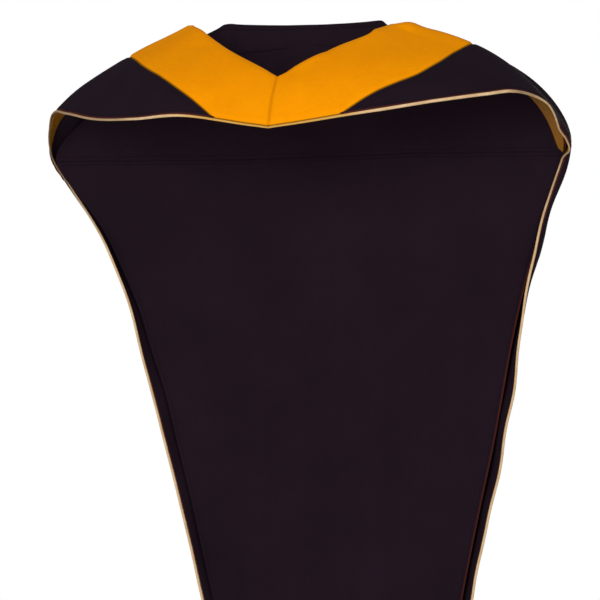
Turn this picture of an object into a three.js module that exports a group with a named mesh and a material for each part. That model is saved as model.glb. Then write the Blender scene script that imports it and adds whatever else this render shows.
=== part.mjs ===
// An academic hood in the form it takes on a wearer's shoulders, in millimetres.
// +X is the wearer's left, +Y is behind the wearer and +Z is up. The origin is the middle of the neck
// opening, level with the ridge of the shoulders.
//
// The hood is one ring of cloth. Its neck edge runs from the point of the V in front, over the shoulders and
// down to the point of the V behind. Its outer edge, the hem, runs from the front centre round the arms and
// down to the end of the tail. Ribs join the two edges. A gold band follows the neck edge and black shell
// cloth fills the rest. A yoke and a back panel close the cowl against the wearer's back, and a gold lining
// hangs in the cowl's mouth between the bands.

import * as THREE from "three";

// Overall sizes
const neckSpan = 208; // across the neck opening, on the ridge of the shoulders
const capeSpan = 536; // across the cape at the arms
const tailWidth = 120;
const frontReach = 104; // from the ridge forward to the hem at the front centre
const backReach = 206; // from the ridge back to the fullest part of the cowl
const frontDrop = 108; // from the ridge down to the hem at the front centre
const hoodLength = 900; // from the ridge down to the end of the tail
const ribRise = 30; // how far a rib can stand out from a straight line
const ribSwell = 16; // how far a rib can swell near the hem
const slip = 25; // how much the hood has slipped towards the wearer's right shoulder

// The yoke and the back panel
const napeRise = 6; // top of the nape above the ridge
const napeReach = 76; // from the ridge back to the nape
const panelReach = 174; // from the ridge back to the panel at the end of the tail
const napeWidth = 180; // between the corners where the yoke comes out from under the bands
const yokeDip = 7; // how far the yoke dips to pass under the bands
const panelInset = 14; // from the hem to the seam of the panel, measured on the shell
const armFacingInset = 2; // from the yoke's side seam to the strip of lining behind the arm
const armFacingWidth = 10;
const armFacingReach = 0.3; // the largest share of the yoke's side that the strip and its space take up

// Cloth
const bandWidth = 74;
const bandFlare = 0.17; // share by which the band widens towards its mitre in front
const facingWidth = 40;
const shellCloth = 1.6;
const bandCloth = 2.2;
const panelCloth = 1.6;
const facingCloth = 1;
const liningCloth = 1.2;
const pipingDiameter = 3;
const seamGap = 0.3; // between pieces that are sewn together
const liningSag = 22; // how far the lining hangs below the line between its edges
const liningSpace = 1.5; // between the lining and the yoke

// How finely the cloth is divided
const stepsPerSection = 4;
const neckSteps = 200;
const bandStrips = 3;
const shellStrips = 3;
const facingStrips = 2;
const pipingSides = 6;
const panelSideStrips = 3;
const panelMiddleStrips = 5;
const liningStrips = 14;

// A row for each rib, from the front centre round to the middle of the tail.
//   neck   out (share of half the neck span), back (share of the reach), down (share of the drop)
//   hem    cape (share of half the cape span), tail (share of half the tail width), back, down
//   rise   out, back and up (shares of ribRise): where the rib's middle stands off a straight line
//   swell  out, back and up (shares of ribSwell): how the rib swells near the hem
// Back is a share of frontReach where it is negative and of backReach where it is positive.
const frontSections = [
  { neck: [0, -0.67, 0.515], hem: [0, 0, -1, 0.99], rise: [0, -0.1, 0.1], swell: [0, 0, 0] },
  { neck: [0.5, -0.42, 0.25], hem: [0.32, 0, -0.93, 0.87], rise: [0, -0.3, 0], swell: [0, 0, 0] },
  { neck: [0.77, -0.216, 0.11], hem: [0.56, 0, -0.647, 0.755], rise: [0, -0.6, -0.3], swell: [0, 0, 0] },
  { neck: [0.85, -0.125, 0.06], hem: [0.743, 0, -0.352, 0.69], rise: [0, -0.35, -0.05], swell: [0, 0, 0] },
  { neck: [0.91, -0.034, 0.04], hem: [0.855, 0, -0.096, 0.653], rise: [0.05, -0.15, 0.25], swell: [0, 0, 0] },
  { neck: [0.955, 0.02, 0.025], hem: [0.946, 0, 0.107, 0.727], rise: [0.2, -0.1, 0.56], swell: [0, 0, 0] },
  { neck: [0.98, 0.06, 0.02], hem: [0.994, 0, 0.24, 0.95], rise: [0.25, -0.05, 0.7], swell: [0.2, 0, -0.1] },
  { neck: [1.01, 0.1, 0.04], hem: [1.02, 0, 0.35, 1.13], rise: [0.3, 0.1, 0.83], swell: [0.65, 0, -0.3] },
  { neck: [1.03, 0.14, 0.07], hem: [0.996, 0, 0.437, 1.26], rise: [0.5, 0.3, 0.95], swell: [1.4, 0, -0.6] },
];
const backSections = [
  { neck: [0.98, 0.56, 0.058], hem: [0.8, 0.2, 0.52, 0.25], rise: [0.4, 0.7, 0.95], swell: [1.4, 0, -0.3] },
  { neck: [0.8, 0.78, 0.18], hem: [0.6, 0.45, 0.66, 0.43], rise: [0.3, 1, 1], swell: [0, 0, 0] },
  { neck: [0.46, 0.9, 0.335], hem: [0.36, 0.65, 0.78, 0.69], rise: [0.2, 0.8, 1], swell: [0, 0, 0] },
  { neck: [0.17, 0.95, 0.45], hem: [0.08, 0.97, 0.85, 0.92], rise: [0, 0.7, 0.6], swell: [0, 0, 0] },
  { neck: [0.06, 0.96, 0.475], hem: [0, 0.87, 0.86, 0.994], rise: [0, 0.6, 0.2], swell: [0, 0, 0] },
  { neck: [0, 0.96, 0.48], hem: [0, 0, 0.865, 1], rise: [0, 0.6, 0.2], swell: [0, 0, 0] },
];

// How the hood has slipped, for the first ribs (shares of slip).
//   neck, hem                          how far the rib's ends have moved towards the wearer's right
//   neckLower, middleLower, hemLower   how much lower the rib lies on the wearer's right
//   band                               how much wider the left band lies, and the right one narrower
const slips = [
  { neck: 0, hem: 0, neckLower: 0, middleLower: 0, hemLower: 0, band: 0.15 },
  { neck: 0.1, hem: 0, neckLower: 0, middleLower: 0, hemLower: 0, band: 0.21 },
  { neck: 0.05, hem: 0, neckLower: 0, middleLower: -0.2, hemLower: 0.5, band: 0.18 },
  { neck: 0.2, hem: 0.08, neckLower: -0.1, middleLower: -0.05, hemLower: 0.68, band: 0.22 },
  { neck: 0.35, hem: 0.24, neckLower: -0.2, middleLower: 0.15, hemLower: 0.56, band: 0.3 },
  { neck: 0.42, hem: 0.35, neckLower: -0.25, middleLower: 0.3, hemLower: 0.05, band: 0.3 },
  { neck: 0.45, hem: 0.36, neckLower: -0.2, middleLower: 0.23, hemLower: -0.19, band: 0.18 },
  { neck: 0.4, hem: 0.34, neckLower: -0.1, middleLower: 0.28, hemLower: -0.19, band: 0.12 },
  { neck: 0.35, hem: 0.62, neckLower: 0, middleLower: 0.34, hemLower: 0, band: 0.1 },
  { neck: 0.1, hem: 0.2, neckLower: 0, middleLower: 0.25, hemLower: 0, band: 0.05 },
  { neck: 0, hem: 0, neckLower: 0, middleLower: 0, hemLower: 0, band: 0 },
];
const sections = [
  ...frontSections.map((row) => ({ ...row, drop: frontDrop })),
  ...backSections.map((row) => ({ ...row, drop: hoodLength })),
];
const lastSection = sections.length - 1;
const cowlStart = frontSections.length - 1; // the rib where the yoke leaves the cape
const liningStart = cowlStart + 0.5;
const facingEnd = cowlStart - 0.25;
const tailCorner = lastSection - 1;
const flankDown = 0.75; // the share of a rib at which it swells most

// The middle of the back panel: how far back it lies (share of the way from nape to panelReach) at each
// share of the hood's length.
const panelProfile = [
  { down: 0, back: 0 },
  { down: 0.05, back: 0.12 },
  { down: 0.11, back: 0.25 },
  { down: 0.26, back: 0.46 },
  { down: 0.43, back: 0.65 },
  { down: 0.69, back: 0.83 },
  { down: 1, back: 1 },
];

const mix = THREE.MathUtils.lerp;
const mixPoints = (a, b, share) => new THREE.Vector3().lerpVectors(a, b, share);

// The share from 0 to 1 at which a test first holds, where it fails at 0 and holds at 1.
function firstShare(holds) {
  let low = 0;
  let high = 1;
  for (let halving = 0; halving < 30; halving += 1) {
    const middle = (low + high) / 2;
    if (holds(middle)) high = middle;
    else low = middle;
  }
  return high;
}

// A rib without its swell. The crown is half way down it.
function plainRib(neck, crown, hem) {
  const control = crown.clone().multiplyScalar(2).sub(mixPoints(neck, hem, 0.5));
  return new THREE.QuadraticBezierCurve3(neck, control, hem);
}

// A rib of the cloth from the neck edge over its crown and its flank to the hem.
class Rib extends THREE.Curve {
  constructor(neck, crown, flank, hem) {
    super();
    this.plain = plainRib(neck, crown, hem);
    this.swell = flank.clone().sub(this.plain.getPoint(flankDown));
  }

  getPoint(down) {
    const share = (down ** 3 * (1 - down)) / (flankDown ** 3 * (1 - flankDown));
    return this.plain.getPoint(down).addScaledVector(this.swell, share);
  }
}

// The four guide curves of one side: 1 is the wearer's left and -1 the right.
function guideCurves(side) {
  const neck = [];
  const crown = [];
  const flank = [];
  const hem = [];
  const reach = (share) => share * (share < 0 ? frontReach : backReach);
  for (const [i, row] of sections.entries()) {
    const neckPoint = new THREE.Vector3(
      (side * row.neck[0] * neckSpan) / 2,
      reach(row.neck[1]),
      -row.neck[2] * row.drop,
    );
    const hemPoint = new THREE.Vector3(
      (side * (row.hem[0] * capeSpan + row.hem[1] * tailWidth)) / 2,
      reach(row.hem[2]),
      -row.hem[3] * row.drop,
    );
    const outward = ([out, back, up], size) =>
      new THREE.Vector3(side * out, back, up).multiplyScalar(size);
    const crownPoint = mixPoints(neckPoint, hemPoint, 0.5).add(outward(row.rise, ribRise));
    if (i < slips.length) {
      neckPoint.x -= slips[i].neck * slip;
      hemPoint.x -= slips[i].hem * slip;
      if (side < 0) neckPoint.z -= slips[i].neckLower * slip;
      if (side < 0) crownPoint.z -= slips[i].middleLower * slip;
      if (side < 0) hemPoint.z -= slips[i].hemLower * slip;
    }
    const flankPoint = plainRib(neckPoint, crownPoint, hemPoint).getPoint(flankDown);
    flankPoint.add(outward(row.swell, ribSwell));
    neck.push(neckPoint);
    crown.push(crownPoint);
    flank.push(flankPoint);
    hem.push(hemPoint);
  }
  return [neck, crown, flank, hem].map((points) => new THREE.CatmullRomCurve3(points));
}

// One side of the ring. Place counts sections from the front centre.
function ringSide(side) {
  const guides = guideCurves(side);
  const ribs = new Map();

  function rib(place) {
    if (!ribs.has(place)) {
      ribs.set(place, new Rib(...guides.map((guide) => guide.getPoint(place / lastSection))));
    }
    return ribs.get(place);
  }

  // The cloth's outer face at a rib and a share of the way down it, with the direction it faces.
  function at(place, down) {
    const step = 0.02;
    const before = Math.max(place - step, 0);
    const after = Math.min(place + step, lastSection);
    const along = rib(after).getPoint(down).sub(rib(before).getPoint(down));
    const across = rib(place).getTangent(down);
    const facing = across.cross(along).multiplyScalar(side);
    if (place === 0 || place === lastSection) facing.x = 0;
    return { point: rib(place).getPoint(down), facing: facing.normalize() };
  }

  // The share of the rib that the band covers: down to where the cloth is a band's width from the neck edge.
  const neckEdge = guides[0].getPoints(neckSteps);
  function bandShare(place) {
    const flare = 1 + bandFlare * Math.max(0, 1 - place / 2) ** 2;
    const before = Math.min(Math.floor(place), slips.length - 2);
    const leanShare = Math.min(place - before, 1);
    const lean = slip * mix(slips[before].band, slips[before + 1].band, leanShare);
    const width = bandWidth * flare + side * lean;
    const reachesBand = (down) => {
      const point = rib(place).getPoint(down);
      return neckEdge.every((edge) => edge.distanceTo(point) > width);
    };
    return reachesBand(1) ? firstShare(reachesBand) : 1;
  }

  // The place where the shell begins: the first rib that is longer than the band is wide.
  const tip = cowlStart * firstShare((share) => bandShare(share * cowlStart) < 1);
  const tipSpace = 0.5 / stepsPerSection;
  const places = [tip - tipSpace / 8, tip];
  for (let step = 0; step <= lastSection * stepsPerSection; step += 1) {
    const place = step / stepsPerSection;
    if (Math.abs(place - tip) > tipSpace) places.push(place);
  }
  places.sort((a, b) => a - b);
  return { side, at, rib, bandShare, tip, places };
}

// A point of a ring side's cloth, set in from its outer face and kept on its own side of the centre seam.
function clothPoint(ring, place, down, depth) {
  const { point, facing } = ring.at(place, down);
  point.addScaledVector(facing, -depth);
  point.x = ring.side * Math.max(point.x * ring.side, seamGap / 2);
  return point;
}

// Joins closed loops of equal length one after another and caps the two ends. The first half of a loop is
// the outer face and the second half comes back along the inner face.
function skin(loops) {
  const size = loops[0].length;
  const half = size / 2;
  const faces = [];
  for (let i = 0; i + 1 < loops.length; i += 1) {
    for (let j = 0; j < size; j += 1) {
      const a = i * size + j;
      const b = i * size + ((j + 1) % size);
      const c = a + size;
      const d = b + size;
      if (j < half) faces.push([a, b, d], [a, d, c]);
      else faces.push([a, b, c], [b, d, c]);
    }
  }
  const end = (loops.length - 1) * size;
  for (let j = 0; j + 1 < half; j += 1) {
    const [a, b, c, d] = [j, j + 1, size - 2 - j, size - 1 - j];
    faces.push([a, c, b], [a, d, c], [end + a, end + b, end + c], [end + a, end + c, end + d]);
  }

  const corners = loops.flat();
  let volume = 0;
  for (const [a, b, c] of faces) {
    volume += corners[a].dot(new THREE.Vector3().crossVectors(corners[b], corners[c])) / 6;
  }
  const order = volume < 0 ? faces.map(([a, b, c]) => [a, c, b]) : faces;
  const geometry = new THREE.BufferGeometry().setFromPoints(corners);
  geometry.setIndex(order.flat());
  geometry.computeVertexNormals();
  return geometry;
}

// A wall of cloth from rows of outer points and the matching rows of inner points.
function wall(outerRows, innerRows) {
  return skin(outerRows.map((outer, i) => [...outer, ...innerRows[i].slice().reverse()]));
}

// A strip of a ring side between two depths, where downs(place) lists the shares of the rib that it uses.
function ringStrip(ring, places, downs, outerDepth, innerDepth) {
  const rows = (depth) =>
    places.map((place) => downs(place).map((down) => clothPoint(ring, place, down, depth)));
  return wall(rows(outerDepth), rows(innerDepth));
}

const evenly = (from, to, parts) =>
  Array.from({ length: parts + 1 }, (_, i) => mix(from, to, i / parts));

// The shares of a rib at which the band is divided.
function bandDowns(ring, place) {
  const edge = place < ring.tip ? 1 : ring.bandShare(place);
  return evenly(0, edge, bandStrips);
}

// The shares of a rib at which the shell is divided: first the plain cloth, then the cloth over the facing.
function shellDowns(ring, place) {
  const length = ring.rib(place).getLength();
  const start = ring.bandShare(place) + seamGap / length;
  const facing = Math.min(facingWidth / length, 0.7 * (1 - start));
  return [
    ...evenly(start, 1 - facing, shellStrips).slice(0, -1),
    ...evenly(1 - facing, 1, facingStrips),
  ];
}

// The piping is a cord along the hem, half a cord outside the edge of the cloth.
function pipingGeometry(ring) {
  const radius = pipingDiameter / 2;
  const last = ring.places.length - 1;
  const edge = ring.places.map((place) => ring.at(place, 1));
  const loops = edge.map(({ point, facing }, i) => {
    const before = edge[Math.max(i - 1, 0)].point;
    const after = edge[Math.min(i + 1, last)].point;
    const along = after.clone().sub(before);
    if (i === 0) along.set(ring.side, 0, 0);
    if (i === last) along.set(-ring.side, 0, 0);
    const outward = along.cross(facing).normalize().multiplyScalar(ring.side);
    const centre = point
      .clone()
      .addScaledVector(outward, radius + seamGap)
      .addScaledVector(facing, -shellCloth / 2);
    return Array.from({ length: pipingSides }, (_, k) => {
      const angle = (2 * Math.PI * k) / pipingSides;
      const corner = centre
        .clone()
        .addScaledVector(outward, radius * Math.cos(angle))
        .addScaledVector(facing, radius * Math.sin(angle));
      corner.x = ring.side * Math.max(corner.x * ring.side, seamGap / 2);
      return corner;
    });
  });
  return skin(loops);
}

// The direction that a grid of points faces at each point, away from the wearer's back.
function gridFacings(grid) {
  return grid.map((row, i) =>
    row.map((_, j) => {
      const above = grid[Math.max(i - 1, 0)][j];
      const below = grid[Math.min(i + 1, grid.length - 1)][j];
      const left = row[Math.max(j - 1, 0)];
      const right = row[Math.min(j + 1, row.length - 1)];
      const across = right.clone().sub(left);
      return across.cross(below.clone().sub(above)).normalize();
    }),
  );
}

// A wall of some rows and columns of a grid, between two depths under the grid. Its first row can be
// trimmed a little for a seam.
function gridWall(grid, rows, columns, outerDepth, innerDepth, trim = 0) {
  const facings = gridFacings(grid);
  const face = (depth) => {
    const sunk = (i, j) => grid[i][j].clone().addScaledVector(facings[i][j], -depth);
    const points = rows.map((i) => columns.map((j) => sunk(i, j)));
    for (const [j, point] of points[0].entries()) {
      point.addScaledVector(points[1][j].clone().sub(point).normalize(), trim);
    }
    return points;
  };
  return wall(face(outerDepth), face(innerDepth));
}

// How far back the middle of the panel lies at a height.
function panelBack(height) {
  const down = THREE.MathUtils.clamp(-height / hoodLength, 0, 1);
  const next = Math.max(1, panelProfile.findIndex((row) => row.down >= down));
  const [above, below] = [panelProfile[next - 1], panelProfile[next]];
  const share = mix(above.back, below.back, (down - above.down) / (below.down - above.down));
  return mix(napeReach, panelReach, share);
}

// A row of points from one side's edge through a corner to the middle and on to the other side's edge.
// The outermost points are where the arm facing lies.
function panelRow(edges, corners, middle) {
  const half = (edge, corner) => {
    const stripEnd = armFacingInset + armFacingWidth;
    const scale = Math.min(1 / edge.distanceTo(corner), armFacingReach / stripEnd);
    const outer = [0, armFacingInset * scale];
    const inner = evenly(stripEnd * scale, 1, panelSideStrips).slice(0, -1);
    const sideShares = [...outer, ...inner];
    return [
      ...sideShares.map((share) => mixPoints(edge, corner, share)),
      ...evenly(0, 1, panelMiddleStrips).map((share) => {
        const point = mixPoints(corner, middle, share);
        point.y = mix(corner.y, middle.y, share * (2 - share));
        return point;
      }),
    ];
  };
  const [left, right] = edges.map((edge, i) => half(edge, corners[i]));
  return [...right, ...left.reverse().slice(1)];
}

// The yoke hangs from the shoulder ribs where the cowl starts. Its first row stands up as the nape and the
// next rows pass under the bands. The back panel goes on below it and hangs from the hem of both sides.
const yokeRows = 2 + bandStrips + shellStrips + facingStrips;

function panelGrid(leftRing, rightRing) {
  const underNape = bandCloth + 2 * panelCloth;
  const underBand = bandCloth + seamGap;
  const insideShell = shellCloth + seamGap + 2 * panelCloth;
  const sides = [leftRing, rightRing].map((ring) => {
    const [top, ...downBand] = bandDowns(ring, cowlStart);
    const [, ...downShell] = shellDowns(ring, cowlStart).slice(0, -1);
    const seamPlaces = ring.places.filter((place) => place >= cowlStart && place <= tailCorner);
    const seamDown = (place) => 1 - panelInset / ring.rib(place).getLength();
    return [
      ...[top, downBand[0] / 8].map((down) => clothPoint(ring, cowlStart, down, underNape)),
      ...downBand.map((down) => clothPoint(ring, cowlStart, down, underBand)),
      ...downShell.map((down) => clothPoint(ring, cowlStart, down, insideShell)),
      ...seamPlaces.map((place) => clothPoint(ring, place, seamDown(place), insideShell)),
    ];
  });
  return sides[0].map((_, i) => {
    const edges = sides.map((side) => side[i]);
    const level = (edges[0].z + edges[1].z) / 2;
    const height = i === 0 ? napeRise : level;
    const middle = new THREE.Vector3((edges[0].x + edges[1].x) / 2, panelBack(height), height);
    const corners = edges.map((edge) => {
      const inward = Math.min(0.75, napeWidth / 2 / Math.abs(edge.x));
      const corner = new THREE.Vector3(edge.x * inward, 0, edge.z);
      corner.y = mix(edge.y, middle.y, i === 0 ? 0.55 : 0.3);
      if (i === 0) corner.z = napeRise;
      else if (i < 2 + bandStrips) corner.z -= yokeDip;
      return corner;
    });
    return panelRow(edges, corners, middle);
  });
}

// A row of points from one edge of the lining to the other, sagging in the middle.
function swag(right, left, middleBack, middleHeight) {
  return evenly(-1, 1, liningStrips).map((across) => {
    const point = mixPoints(right, left, (across + 1) / 2);
    point.y = mix(point.y, middleBack, 1 - across * across);
    point.z = mix(point.z, middleHeight, 1 - across ** 4);
    return point;
  });
}

// The lining hangs between the neck edges of the two bands, from behind the nape to the point of the V.
function liningGrid(leftRing, rightRing) {
  const places = leftRing.places.filter((place) => place >= liningStart && place < tailCorner);
  return places.map((place, i) => {
    const [left, right] = [leftRing, rightRing].map((ring) =>
      clothPoint(ring, place, 0, bandCloth + seamGap),
    );
    const lowered = i / (places.length - 1);
    const height = left.z - liningSag * (1 - lowered);
    const clear = panelBack(height) + liningCloth + liningSpace;
    const back = mix(clear, left.y, lowered);
    return swag(right, left, back, height);
  });
}

const cloths = {
  black: new THREE.MeshStandardMaterial({ color: 0x1c171d, roughness: 0.85, metalness: 0 }),
  goldVelvet: new THREE.MeshStandardMaterial({ color: 0xf09a06, roughness: 0.8, metalness: 0 }),
  goldSatin: new THREE.MeshStandardMaterial({ color: 0xd08a18, roughness: 0.55, metalness: 0 }),
  creamCord: new THREE.MeshStandardMaterial({ color: 0xe8cfa4, roughness: 0.7, metalness: 0 }),
};

const hood = new THREE.Group();

function addPiece(name, geometry, material) {
  const mesh = new THREE.Mesh(geometry, material);
  mesh.name = name;
  hood.add(mesh);
}

const rings = { left: ringSide(1), right: ringSide(-1) };
for (const [name, ring] of Object.entries(rings)) {
  const shellPlaces = ring.places.filter((place) => place >= ring.tip);
  const facingPlaces = shellPlaces.filter((place) => place > ring.tip && place < facingEnd);
  const facingDepth = shellCloth + seamGap;
  const band = ringStrip(ring, ring.places, (place) => bandDowns(ring, place), 0, bandCloth);
  const shell = ringStrip(ring, shellPlaces, (place) => shellDowns(ring, place), 0, shellCloth);
  const facing = ringStrip(
    ring,
    facingPlaces,
    (place) => shellDowns(ring, place).slice(shellStrips),
    facingDepth,
    facingDepth + facingCloth,
  );
  addPiece(`${name}_band`, band, cloths.goldVelvet);
  addPiece(`${name}_shell`, shell, cloths.black);
  addPiece(`${name}_facing`, facing, cloths.goldSatin);
  addPiece(`${name}_piping`, pipingGeometry(ring), cloths.creamCord);
}

const panel = panelGrid(rings.left, rings.right);
const rowNumbers = [...panel.keys()];
const columnNumbers = [...panel[0].keys()];
const yokeFacingDepth = panelCloth + seamGap;
const yoke = gridWall(panel, rowNumbers.slice(0, yokeRows), columnNumbers, 0, panelCloth);
const backPanel = gridWall(panel, rowNumbers.slice(yokeRows - 1), columnNumbers, 0, panelCloth, seamGap);
const armFacing = gridWall(
  panel,
  rowNumbers.slice(2 + bandStrips, yokeRows),
  columnNumbers.slice(-3, -1),
  yokeFacingDepth,
  yokeFacingDepth + facingCloth,
);
const lining = liningGrid(rings.left, rings.right);
const cowlLining = gridWall(lining, [...lining.keys()], [...lining[0].keys()], 0, liningCloth);
addPiece("yoke", yoke, cloths.black);
addPiece("back_panel", backPanel, cloths.black);
addPiece("left_arm_facing", armFacing, cloths.goldSatin);
addPiece("cowl_lining", cowlLining, cloths.goldSatin);

export default hood;
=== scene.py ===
import math

import bmesh
import bpy
import numpy as np
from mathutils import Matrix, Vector


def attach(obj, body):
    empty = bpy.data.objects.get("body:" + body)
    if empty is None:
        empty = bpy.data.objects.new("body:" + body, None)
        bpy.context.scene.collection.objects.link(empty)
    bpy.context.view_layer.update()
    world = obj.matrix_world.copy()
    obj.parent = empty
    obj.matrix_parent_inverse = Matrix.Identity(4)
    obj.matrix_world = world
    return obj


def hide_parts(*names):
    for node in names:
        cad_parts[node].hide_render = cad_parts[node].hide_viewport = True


# An academic hood in the form that it has when it is worn. +X is its left side, +Y its back and +Z is up,
# and the origin is the middle of the neck opening. All lengths are in metres.

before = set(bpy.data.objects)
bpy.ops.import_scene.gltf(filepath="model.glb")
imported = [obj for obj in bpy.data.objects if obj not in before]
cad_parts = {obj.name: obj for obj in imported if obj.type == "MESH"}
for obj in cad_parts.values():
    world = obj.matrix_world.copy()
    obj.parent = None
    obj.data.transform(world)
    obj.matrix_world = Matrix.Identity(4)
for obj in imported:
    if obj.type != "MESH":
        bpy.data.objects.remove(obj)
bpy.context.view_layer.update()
print("frame loaded")


# Camera

view = {
    "azimuth": 15.0,
    "distance": 3.0,
    "metresPerPixel": 0.00099,
    "originPixel": (296, 24),
    "imagePixels": 600,
    "sensor": 36.0,
    "farthest": 50.0,
}


def addCamera():
    turn = math.radians(view["azimuth"])
    back = Vector((math.sin(turn), -math.cos(turn), 0))
    right = Vector((math.cos(turn), math.sin(turn), 0))
    half = view["imagePixels"] / 2
    across = (half - view["originPixel"][0]) * view["metresPerPixel"]
    down = (half - view["originPixel"][1]) * view["metresPerPixel"]
    aim = right * across - Vector((0, 0, down))
    data = bpy.data.cameras.new("camera")
    data.sensor_width = view["sensor"]
    span = view["imagePixels"] * view["metresPerPixel"]
    data.lens = view["sensor"] * view["distance"] / span
    data.clip_end = view["farthest"]
    camera = bpy.data.objects.new("camera", data)
    camera.location = aim + back * view["distance"]
    camera.rotation_euler = (-back).to_track_quat("-Z", "Y").to_euler()
    bpy.context.collection.objects.link(camera)
    bpy.context.scene.camera = camera


addCamera()
print("camera placed")


# The form of the cloth: a ring of ribs from the neck edge to the hem

hood = {
    "neckSpan": 0.208,
    "capeSpan": 0.536,
    "tailWidth": 0.12,
    "frontReach": 0.104,
    "backReach": 0.206,
    "frontDrop": 0.108,
    "hoodLength": 0.9,
    "ribRise": 0.03,
    "slip": 0.025,
    "napeRise": 0.006,
    "napeReach": 0.076,
    "panelReach": 0.174,
    "napeWidth": 0.18,
    "yokeDip": 0.007,
    "panelInset": 0.014,
    "armFacingInset": 0.002,
    "armFacingWidth": 0.01,
    "bandWidth": 0.074,
    "bandFlare": 0.17,
    "flareSections": 2,
    "facingWidth": 0.04,
    "shellCloth": 0.0016,
    "bandCloth": 0.0022,
    "panelCloth": 0.0016,
    "facingCloth": 0.001,
    "liningCloth": 0.0012,
    "pipingDiameter": 0.003,
    "seamGap": 0.0003,
    "middleGap": 0.000005,
    "lowestShellStart": 0.97,
    "liningSag": 0.022,
    "liningSpace": 0.0015,
    "swell": 0.016,
    "swellPeak": 0.75,
    "frontCalm": 0.35,
    "tailCalm": 0.5,
    "foldTaper": 0.6,
    "cowlStart": 8,
    "liningStart": 8.5,
    "tailCorner": 13,
    "lastPlace": 14,
}

# The ribs, as shares of the hood's lengths: neck is (out, back, down), hem is (share of the cape's width,
# share of the tail's width, back, down), and rise and swell are (out, back, up).
frontSections = [
    {"neck": (0, -0.67, 0.515), "hem": (0, 0, -1, 0.99), "rise": (0, -0.1, 0.1)},
    {"neck": (0.5, -0.42, 0.25), "hem": (0.32, 0, -0.93, 0.87), "rise": (0, -0.3, 0)},
    {"neck": (0.77, -0.216, 0.11), "hem": (0.56, 0, -0.647, 0.755), "rise": (0, -0.6, -0.3)},
    {"neck": (0.85, -0.125, 0.06), "hem": (0.743, 0, -0.352, 0.69), "rise": (0, -0.35, -0.05)},
    {"neck": (0.91, -0.034, 0.04), "hem": (0.855, 0, -0.096, 0.653), "rise": (0.05, -0.15, 0.25)},
    {"neck": (0.955, 0.02, 0.025), "hem": (0.946, 0, 0.107, 0.727), "rise": (0.2, -0.1, 0.56)},
    {"neck": (0.98, 0.06, 0.02), "hem": (0.994, 0, 0.24, 0.95), "rise": (0.25, -0.05, 0.7),
     "swell": (0.2, 0, -0.1)},
    {"neck": (1.01, 0.1, 0.04), "hem": (1.02, 0, 0.35, 1.13), "rise": (0.3, 0.1, 0.83),
     "swell": (0.65, 0, -0.3)},
    {"neck": (1.03, 0.14, 0.07), "hem": (0.996, 0, 0.437, 1.26), "rise": (0.5, 0.3, 0.95),
     "swell": (1.4, 0, -0.6)},
]
backSections = [
    {"neck": (0.98, 0.56, 0.058), "hem": (0.8, 0.2, 0.52, 0.25), "rise": (0.4, 0.7, 0.95),
     "swell": (1.4, 0, -0.3)},
    {"neck": (0.8, 0.78, 0.18), "hem": (0.6, 0.45, 0.66, 0.43), "rise": (0.3, 1, 1)},
    {"neck": (0.46, 0.9, 0.335), "hem": (0.36, 0.65, 0.78, 0.69), "rise": (0.2, 0.8, 1)},
    {"neck": (0.17, 0.95, 0.45), "hem": (0.08, 0.97, 0.85, 0.92), "rise": (0, 0.7, 0.6)},
    {"neck": (0.06, 0.96, 0.475), "hem": (0, 0.87, 0.86, 0.994), "rise": (0, 0.6, 0.2)},
    {"neck": (0, 0.96, 0.48), "hem": (0, 0, 0.865, 1), "rise": (0, 0.6, 0.2)},
]

# How the ring has slipped to its right at each section, and how its right side hangs lower, as shares of
# the slip. The band is wider by its share on the left and narrower on the right.
slips = {
    "neck": (0, 0.1, 0.05, 0.2, 0.35, 0.42, 0.45, 0.4, 0.35, 0.1, 0),
    "hem": (0, 0, 0, 0.08, 0.24, 0.35, 0.36, 0.34, 0.62, 0.2, 0),
    "neckLower": (0, 0, 0, -0.1, -0.2, -0.25, -0.2, -0.1, 0, 0, 0),
    "middleLower": (0, 0, -0.2, -0.05, 0.15, 0.3, 0.23, 0.28, 0.34, 0.25, 0),
    "hemLower": (0, 0, 0.5, 0.68, 0.56, 0.05, -0.19, -0.19, 0, 0, 0),
    "band": (0.15, 0.21, 0.18, 0.22, 0.3, 0.3, 0.18, 0.12, 0.1, 0.05, 0),
}

# The panel's profile: at shares of the hood's length below the origin, how far it has come from the nape's
# reach to its own.
panelProfile = [(0, 0), (0.05, 0.12), (0.11, 0.25), (0.26, 0.46), (0.43, 0.65), (0.69, 0.83), (1, 1)]

# How finely the form is worked out.
sampling = {
    "stepsPerSection": 20,
    "neckEdge": 300,
    "foldLine": 40,
    "rib": 12,
    "halvings": 26,
    "facingStep": 0.02,
    "closestSteps": 0.01,
    "weld": 1e-6,
}

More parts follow.
